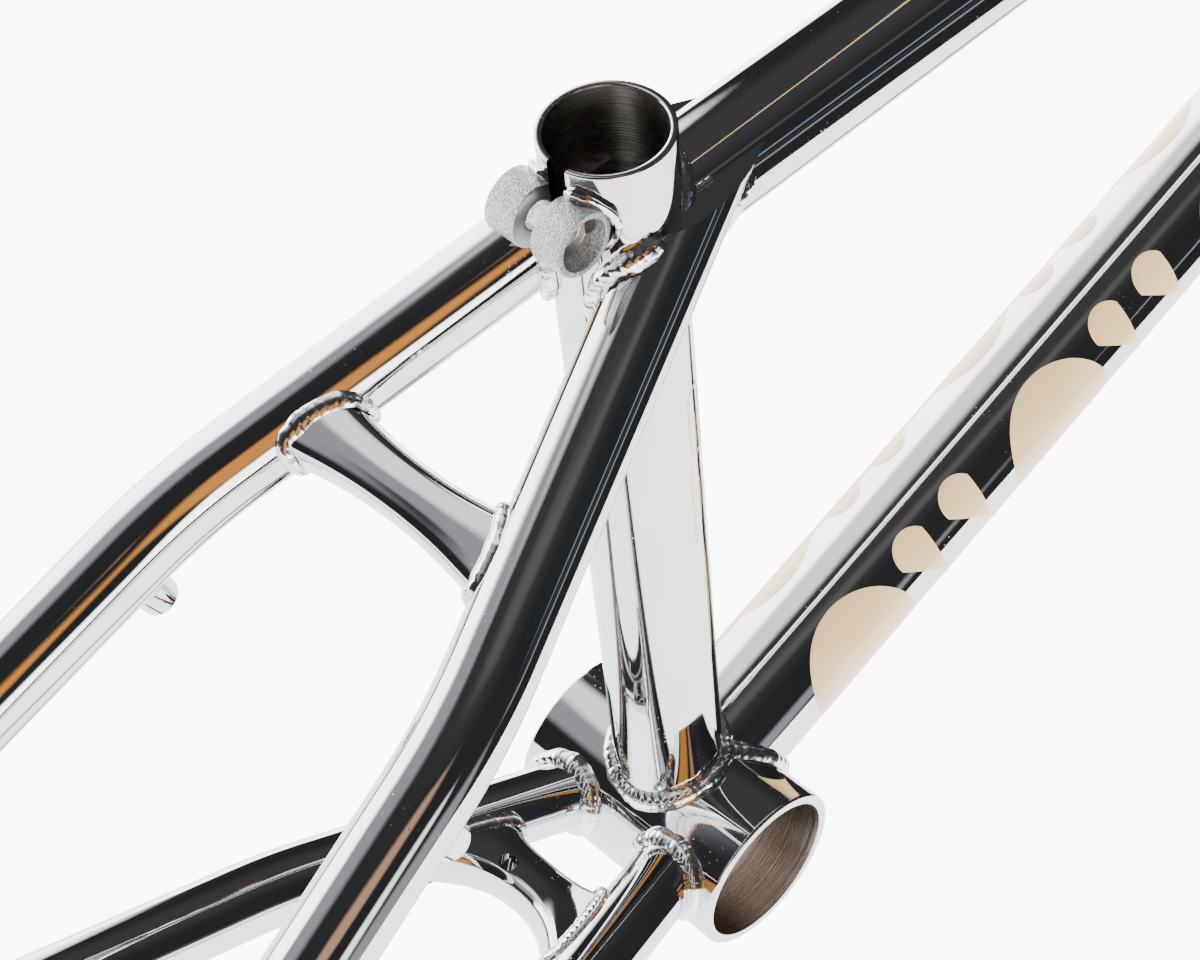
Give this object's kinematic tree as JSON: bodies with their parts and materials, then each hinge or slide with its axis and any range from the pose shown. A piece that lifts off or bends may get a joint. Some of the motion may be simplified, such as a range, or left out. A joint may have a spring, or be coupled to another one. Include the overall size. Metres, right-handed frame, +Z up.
{
  "type": "bmx bike frame",
  "caption": "Bare chromed steel BMX bike frame with curved stays, waisted bridges, welded joints, rear axle slots and a split seat clamp.",
  "frame": {"origin": "centre of the bottom bracket shell's bore", "axes": "+X forward to the head tube, +Y to the rider's left along the bottom bracket axis, +Z up; the middle plane of the bike is Y = 0"},
  "size_m": [0.8413, 0.135, 0.4334],
  "materials": {
    "chrome_plate": "mirror chrome plate over polished steel tube",
    "weld_metal": "rippled weld bead under the same chrome plate",
    "satin_lug": "fine satin, blasted before plating"
  },
  "bodies": {
    "root": {"bb_shell": "chrome_plate", "seat_tube": "chrome_plate", "top_tube": "chrome_plate", "down_tube": "chrome_plate", "head_tube": "chrome_plate", "seatstay_left": "chrome_plate", "seatstay_right": "chrome_plate", "chainstay_left": "chrome_plate", "chainstay_right": "chrome_plate", "seatstay_bridge": "chrome_plate", "chainstay_bridge": "chrome_plate", "dropout_left": "chrome_plate", "dropout_right": "chrome_plate", "clamp_ear_left": "satin_lug", "clamp_ear_right": "satin_lug", "brake_boss_left": "chrome_plate", "brake_boss_right": "chrome_plate", "weld_top_seat": "weld_metal", "weld_top_head": "weld_metal", "weld_down_head": "weld_metal", "weld_down_seat": "weld_metal", "weld_down_shell": "weld_metal", "weld_seat_shell": "weld_metal", "weld_chainstay_shell_left": "weld_metal", "weld_seatstay_seat_left": "weld_metal", "weld_seatstay_top_left": "weld_metal", "weld_seatstay_bridge_left": "weld_metal", "weld_chainstay_bridge_left": "weld_metal", "weld_dropout_seatstay_left": "weld_metal", "weld_dropout_chainstay_left": "weld_metal", "weld_clamp_ear_left": "weld_metal", "weld_brake_boss_left": "weld_metal", "weld_chainstay_shell_right": "weld_metal", "weld_seatstay_seat_right": "weld_metal", "weld_seatstay_top_right": "weld_metal", "weld_seatstay_bridge_right": "weld_metal", "weld_chainstay_bridge_right": "weld_metal", "weld_dropout_seatstay_right": "weld_metal", "weld_dropout_chainstay_right": "weld_metal", "weld_clamp_ear_right": "weld_metal", "weld_brake_boss_right": "weld_metal"}
  },
  "joints": []
}
